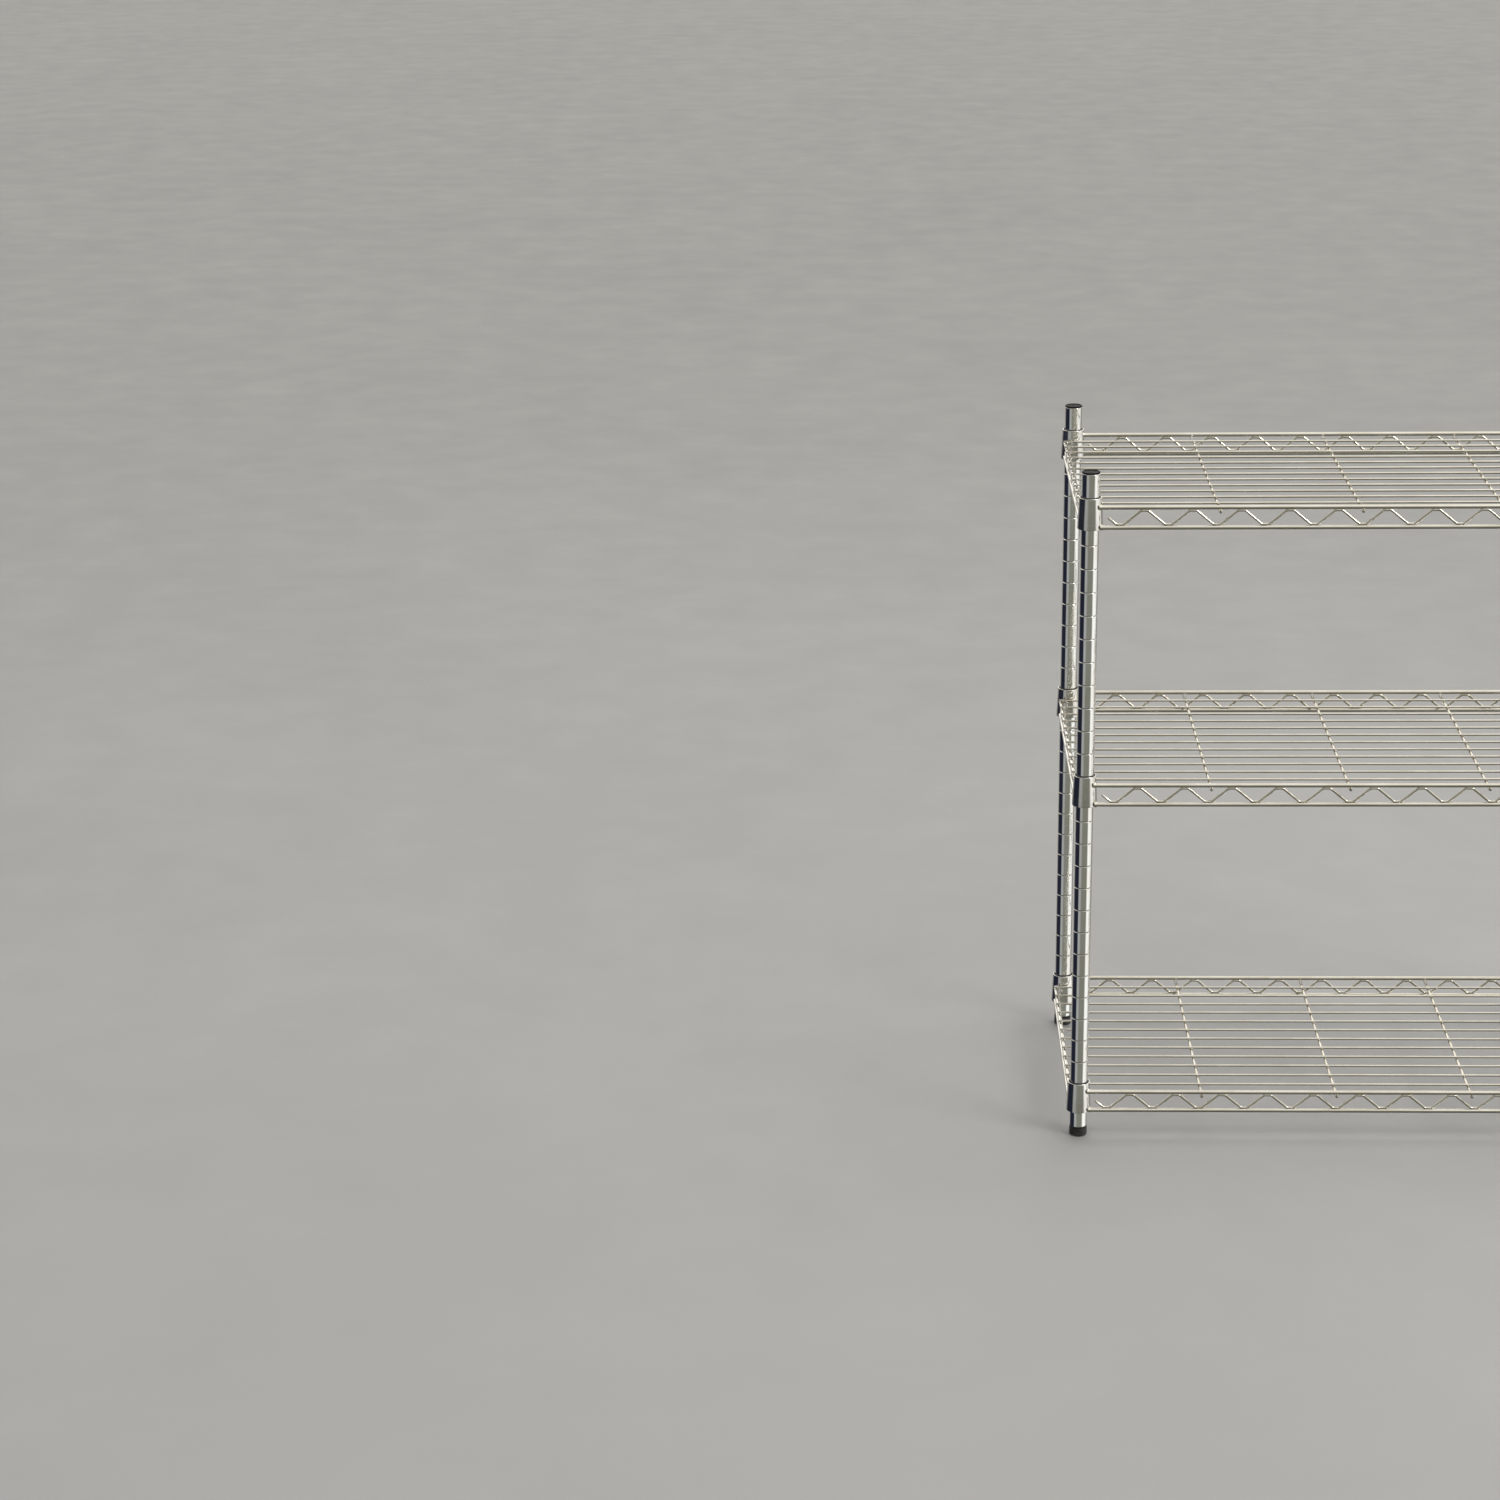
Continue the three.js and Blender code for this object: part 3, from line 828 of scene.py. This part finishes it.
def make_end_frame(shelf, side, rng):
    """A short truss with a tapered collar welded to each end."""
    node = f"end_{side}_{shelf}"
    front = middle_of(f"post_front_{side}")
    back = middle_of(f"post_back_{side}")
    outward = math.copysign(1, front.x)
    x = front.x + outward * TRUSS_OFFSET
    bottom, top = collar_levels(shelf)
    settle = outside_collars((front, back), bottom, top)
    top_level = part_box(f"mat_{shelf}")[1].z - 2 * MAT_WIRE - FRAME_WIRE
    bottom_level = middle_of(f"truss_front_{shelf}").z - TRUSS_DEPTH / 2
    builder = Builder()
    for post in (front, back):
        add_collar(builder, Vector((post.x, post.y, 0)), bottom, top)
    for level in (top_level, bottom_level):
        chord = collar_chord(level, bottom, top)
        start = Vector((x, front.y + chord, level))
        end = Vector((x, back.y - chord, level))
        add_frame_wire(builder, start, end, Vector((-outward, 0, 0)), settle, rng)

    def place(along, below):
        return Vector((x, front.y + along, top_level + below))

    add_zigzag(builder, back.y - front.y, top_level - bottom_level, place, Vector((0, 1, 0)), rng)
    place_piece(builder, node, "welded", "end_chrome", f"shelf_{shelf}", METAL_CREASE)


def make_mat(shelf, rng):
    """The deck: twelve long wires resistance-welded across three ribs."""
    node = f"mat_{shelf}"
    low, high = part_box(node)
    front = middle_of(f"truss_front_{shelf}").y
    back = middle_of(f"truss_back_{shelf}").y
    mat_level = high.z - MAT_WIRE
    rib_level = low.z + RIB_WIRE
    builder = Builder()
    weld_level = (mat_level - MAT_WIRE + rib_level + RIB_WIRE) / 2
    ribs = [rib * RIB_PITCH for rib in (-1, 0, 1)]
    depths = [low.y + (high.y - low.y) * k / RIB_STEPS for k in range(RIB_STEPS + 1)]
    for x in ribs:
        path = [Vector((x, y, rib_level)) for y in depths]
        rod(builder, path, RIB_WIRE, WIRE_SIDES, edge=0.3 * MM)
    for gap in range(1, MAT_INTERVALS):
        y = front + gap * (back - front) / MAT_INTERVALS
        drift = rng.uniform(-MAT_WIRE_DRIFT, MAT_WIRE_DRIFT)
        bow = rng.uniform(-MAT_WIRE_BOW, MAT_WIRE_BOW)

        def swing(share):
            return bow * math.sin(math.pi * share) + drift * math.sin(2 * math.pi * share)

        shares = [k / MAT_STEPS for k in range(MAT_STEPS + 1)]
        path = [Vector((low.x + (high.x - low.x) * share, y + swing(share), mat_level)) for share in shares]
        rod(builder, path, MAT_WIRE, THIN_SIDES, edge=0.2 * MM)
        for x in ribs:
            share = (x - low.x) / (high.x - low.x)
            bead(builder, Vector((x, y + swing(share), weld_level)), MAT_WELD, rng)
    place_piece(builder, node, "grid", "wire_chrome", f"shelf_{shelf}", METAL_CREASE)


for corner in CORNERS:
    make_post(corner)
    make_cap(corner)
    make_insert(corner)
    make_stud(corner)
    make_foot(corner)

dice = random.Random(24)
for shelf in SHELVES:
    make_mat(shelf, dice)
    for side in ("front", "back"):
        make_long_truss(shelf, side, dice)
    for side in ("left", "right"):
        make_end_frame(shelf, side, dice)
    for corner in CORNERS:
        for part in ("outer", "inner"):
            make_sleeve_half(shelf, corner, part)


# ---- studio ----------------------------------------------------------------------------------
def colour_ramp(tree, value, stops):
    """A smooth ramp through (position, colour) stops, with positions from 0 to 1."""
    node = tree.nodes.new("ShaderNodeValToRGB")
    node.color_ramp.interpolation = "EASE"
    elements = node.color_ramp.elements
    while len(elements) < len(stops):
        elements.new(0.5)
    for element, (position, colour) in zip(elements, stops):
        element.position = position
        element.color = (*colour, 1)
    tree.links.new(value, node.inputs["Fac"])
    return node.outputs["Color"]


def smooth_step(tree, value, low, high):
    node = tree.nodes.new("ShaderNodeMapRange")
    node.interpolation_type = "SMOOTHSTEP"
    node.inputs["From Min"].default_value = low
    node.inputs["From Max"].default_value = high
    tree.links.new(value, node.inputs["Value"])
    return node.outputs["Result"]


def around(degrees):
    """Where a bearing lies on the ramp around the room: 0 is the front (-Y), and +90 is the right (+X)."""
    return 0.5 + degrees / 360


# The room that the chrome mirrors. Its colours are brightnesses and may pass 1.
WALL = (0.34, 0.33, 0.31)
DARK = (0.018, 0.021, 0.036)
SOFT = (0.44, 0.45, 0.45)
OLIVE = (0.25, 0.252, 0.215)
WHITE = (1.20, 1.19, 1.15)
ROOM = [
    (around(-180), WALL),
    (around(-150), WALL),
    (around(-122), DARK),
    (around(-64), DARK),
    (around(-52), SOFT),
    (around(-38), SOFT),
    (around(-16), OLIVE),
    (around(40), OLIVE),
    (around(58), WHITE),
    (around(98), WHITE),
    (around(118), WALL),
    (around(180), WALL),
]
UPPER_WALL_FRONT = (0.40, 0.39, 0.36)
UPPER_WALL_BACK = (1.40, 1.35, 1.25)
CEILING_LEFT = (0.48, 0.47, 0.44)
CEILING_RIGHT = (1.50, 1.46, 1.37)
DIM_FLOOR = (0.10, 0.098, 0.085)


def make_world():
    """What the chrome mirrors: walls with a dark and a bright side, above them an upper wall that is
    brighter at the back and a ceiling that is brighter on the right, and below them a dim floor."""
    world = bpy.data.worlds.new("studio")
    bpy.context.scene.world = world
    world.use_nodes = True
    tree = world.node_tree
    place = tree.nodes.new("ShaderNodeTexCoord")
    parts = tree.nodes.new("ShaderNodeSeparateXYZ")
    tree.links.new(place.outputs["Generated"], parts.inputs["Vector"])
    x, y, z = parts.outputs["X"], parts.outputs["Y"], parts.outputs["Z"]
    bearing = math_node(tree, "ARCTAN2", x, math_node(tree, "MULTIPLY", y, -1.0))
    turn_share = math_node(tree, "ADD", math_node(tree, "DIVIDE", bearing, 2 * math.pi), 0.5)
    walls = colour_ramp(tree, turn_share, ROOM)
    ceiling = mix_colour(tree, smooth_step(tree, x, -0.45, 0.45), CEILING_LEFT, CEILING_RIGHT)
    upper_wall = mix_colour(tree, smooth_step(tree, y, -0.5, 0.5), UPPER_WALL_FRONT, UPPER_WALL_BACK)
    walls = mix_colour(tree, smooth_step(tree, z, -0.17, 0.17), walls, upper_wall)
    room = mix_colour(tree, smooth_step(tree, z, 0.30, 0.72), walls, ceiling)
    room = mix_colour(tree, smooth_step(tree, z, -0.42, -0.88), room, DIM_FLOOR)
    background = tree.nodes["Background"]
    tree.links.new(room, background.inputs["Color"])
    background.inputs["Strength"].default_value = 1.0


def add_stage(name, mesh, material):
    mesh.materials.append(material)
    mesh.shade_smooth()
    piece = bpy.data.objects.new(name, mesh)
    bpy.context.scene.collection.objects.link(piece)
    return piece


FLOOR_HALF = 30
FLOOR_TONES = ((0.280, 0.282, 0.286), (0.298, 0.300, 0.303))
BACKDROP_RADIUS = 29
BACKDROP_LEVELS = (-0.5, 8, 16, 22)
BACKDROP_SIDES = 96
BACKDROP_TONES = ((0.345, 0.342, 0.333), (0.360, 0.357, 0.348))


def make_floor():
    """A large pale floor. The chrome doesn't mirror it: the room's own dim floor is in its reflections."""
    material, tree, shader, place = new_material("studio_floor")
    tone = remap(tree, noise(tree, place, 1.4, 3), 0.3, 0.7, 0, 1)
    tree.links.new(mix_colour(tree, tone, *FLOOR_TONES), shader.inputs["Base Color"])
    tree.links.new(remap(tree, noise(tree, place, 9, 4), 0.3, 0.7, 0.5, 0.62), shader.inputs["Roughness"])
    shader.inputs["Specular IOR Level"].default_value = 0.3
    mesh = bpy.data.meshes.new("studio_floor")
    signs = ((-1, -1), (1, -1), (1, 1), (-1, 1))
    mesh.from_pydata([(x * FLOOR_HALF, y * FLOOR_HALF, 0) for x, y in signs], [], [(0, 1, 2, 3)])
    floor = add_stage("studio_floor", mesh, material)
    floor.visible_glossy = False


def make_backdrop():
    """A pale surround above the floor's edge, seen by the camera alone."""
    material = bpy.data.materials.new("studio_backdrop")
    material.use_nodes = True
    tree = material.node_tree
    tree.nodes.clear()
    place = tree.nodes.new("ShaderNodeTexCoord")
    glow = tree.nodes.new("ShaderNodeEmission")
    tone = remap(tree, noise(tree, place.outputs["Object"], 0.08, 2), 0.3, 0.7, 0, 1)
    tree.links.new(mix_colour(tree, tone, *BACKDROP_TONES), glow.inputs["Color"])
    out = tree.nodes.new("ShaderNodeOutputMaterial")
    tree.links.new(glow.outputs["Emission"], out.inputs["Surface"])
    builder = Builder()
    angles = [2 * math.pi * k / BACKDROP_SIDES for k in range(BACKDROP_SIDES)]
    rings = []
    for level in BACKDROP_LEVELS:
        reach = math.sqrt(BACKDROP_RADIUS ** 2 - max(level, 0) ** 2)
        points = [Vector((reach * math.cos(angle), reach * math.sin(angle), level)) for angle in angles]
        rings.append(builder.ring(points))
    for low, high in zip(rings, rings[1:]):
        builder.bridge(high, low)
    builder.fill(rings[-1], flip=True)
    mesh = bpy.data.meshes.new("studio_backdrop")
    mesh.from_pydata([tuple(p) for p in builder.points], [], builder.faces)
    backdrop = add_stage("studio_backdrop", mesh, material)
    backdrop.visible_glossy = False
    backdrop.visible_diffuse = False
    backdrop.visible_shadow = False
    backdrop.visible_transmission = False


def area_light(name, place, target, width, height, power, colour, mirrored=True):
    data = bpy.data.lights.new(name, "AREA")
    data.shape = "RECTANGLE"
    data.size = width
    data.size_y = height
    data.energy = power
    data.color = colour
    lamp = bpy.data.objects.new(name, data)
    lamp.location = place
    lamp.rotation_euler = (target - place).to_track_quat("-Z", "Y").to_euler()
    lamp.visible_glossy = mirrored
    bpy.context.scene.collection.objects.link(lamp)


HEART = (CAD_BOX[0] + CAD_BOX[1]) / 2
make_floor()
make_backdrop()
make_world()
area_light("key", HEART + Vector((1.9, -1.5, 2.1)), HEART,
           width=1.1, height=1.1, power=42, colour=(1.0, 0.97, 0.93))
area_light("fill", HEART + Vector((-2.6, -2.4, 1.8)), HEART,
           width=1.8, height=1.8, power=12, colour=(0.93, 0.96, 1.0), mirrored=False)
area_light("top", HEART + Vector((0.2, 0.8, 2.8)), HEART,
           width=2.4, height=1.2, power=26, colour=(1.0, 0.99, 0.97), mirrored=False)
bpy.context.scene.view_settings.view_transform = "Standard"

# ---- camera ----------------------------------------------------------------------------------
CAMERA_PLACE = Vector((-0.5141, -3.6360, 1.5944))
CAMERA_YAW = math.radians(-2.059)
CAMERA_PITCH = math.radians(18.250)
CAMERA_ROLL = math.radians(0.688)
CAMERA_LENS = 82.3  # millimetres, on a sensor of the next line's width
CAMERA_SENSOR = 36


def make_camera():
    ahead = Vector((
        math.sin(CAMERA_YAW) * math.cos(CAMERA_PITCH),
        math.cos(CAMERA_YAW) * math.cos(CAMERA_PITCH),
        -math.sin(CAMERA_PITCH)))
    level_right = Vector((math.cos(CAMERA_YAW), -math.sin(CAMERA_YAW), 0))
    level_down = ahead.cross(level_right)
    right = level_right * math.cos(CAMERA_ROLL) + level_down * math.sin(CAMERA_ROLL)
    up = level_right * math.sin(CAMERA_ROLL) - level_down * math.cos(CAMERA_ROLL)
    data = bpy.data.cameras.new("camera")
    data.sensor_width = CAMERA_SENSOR
    data.lens = CAMERA_LENS
    camera = bpy.data.objects.new("camera", data)
    camera.matrix_world = Matrix((
        (right.x, up.x, -ahead.x, CAMERA_PLACE.x),
        (right.y, up.y, -ahead.y, CAMERA_PLACE.y),
        (right.z, up.z, -ahead.z, CAMERA_PLACE.z),
        (0, 0, 0, 1)))
    bpy.context.scene.collection.objects.link(camera)
    bpy.context.scene.camera = camera


make_camera()
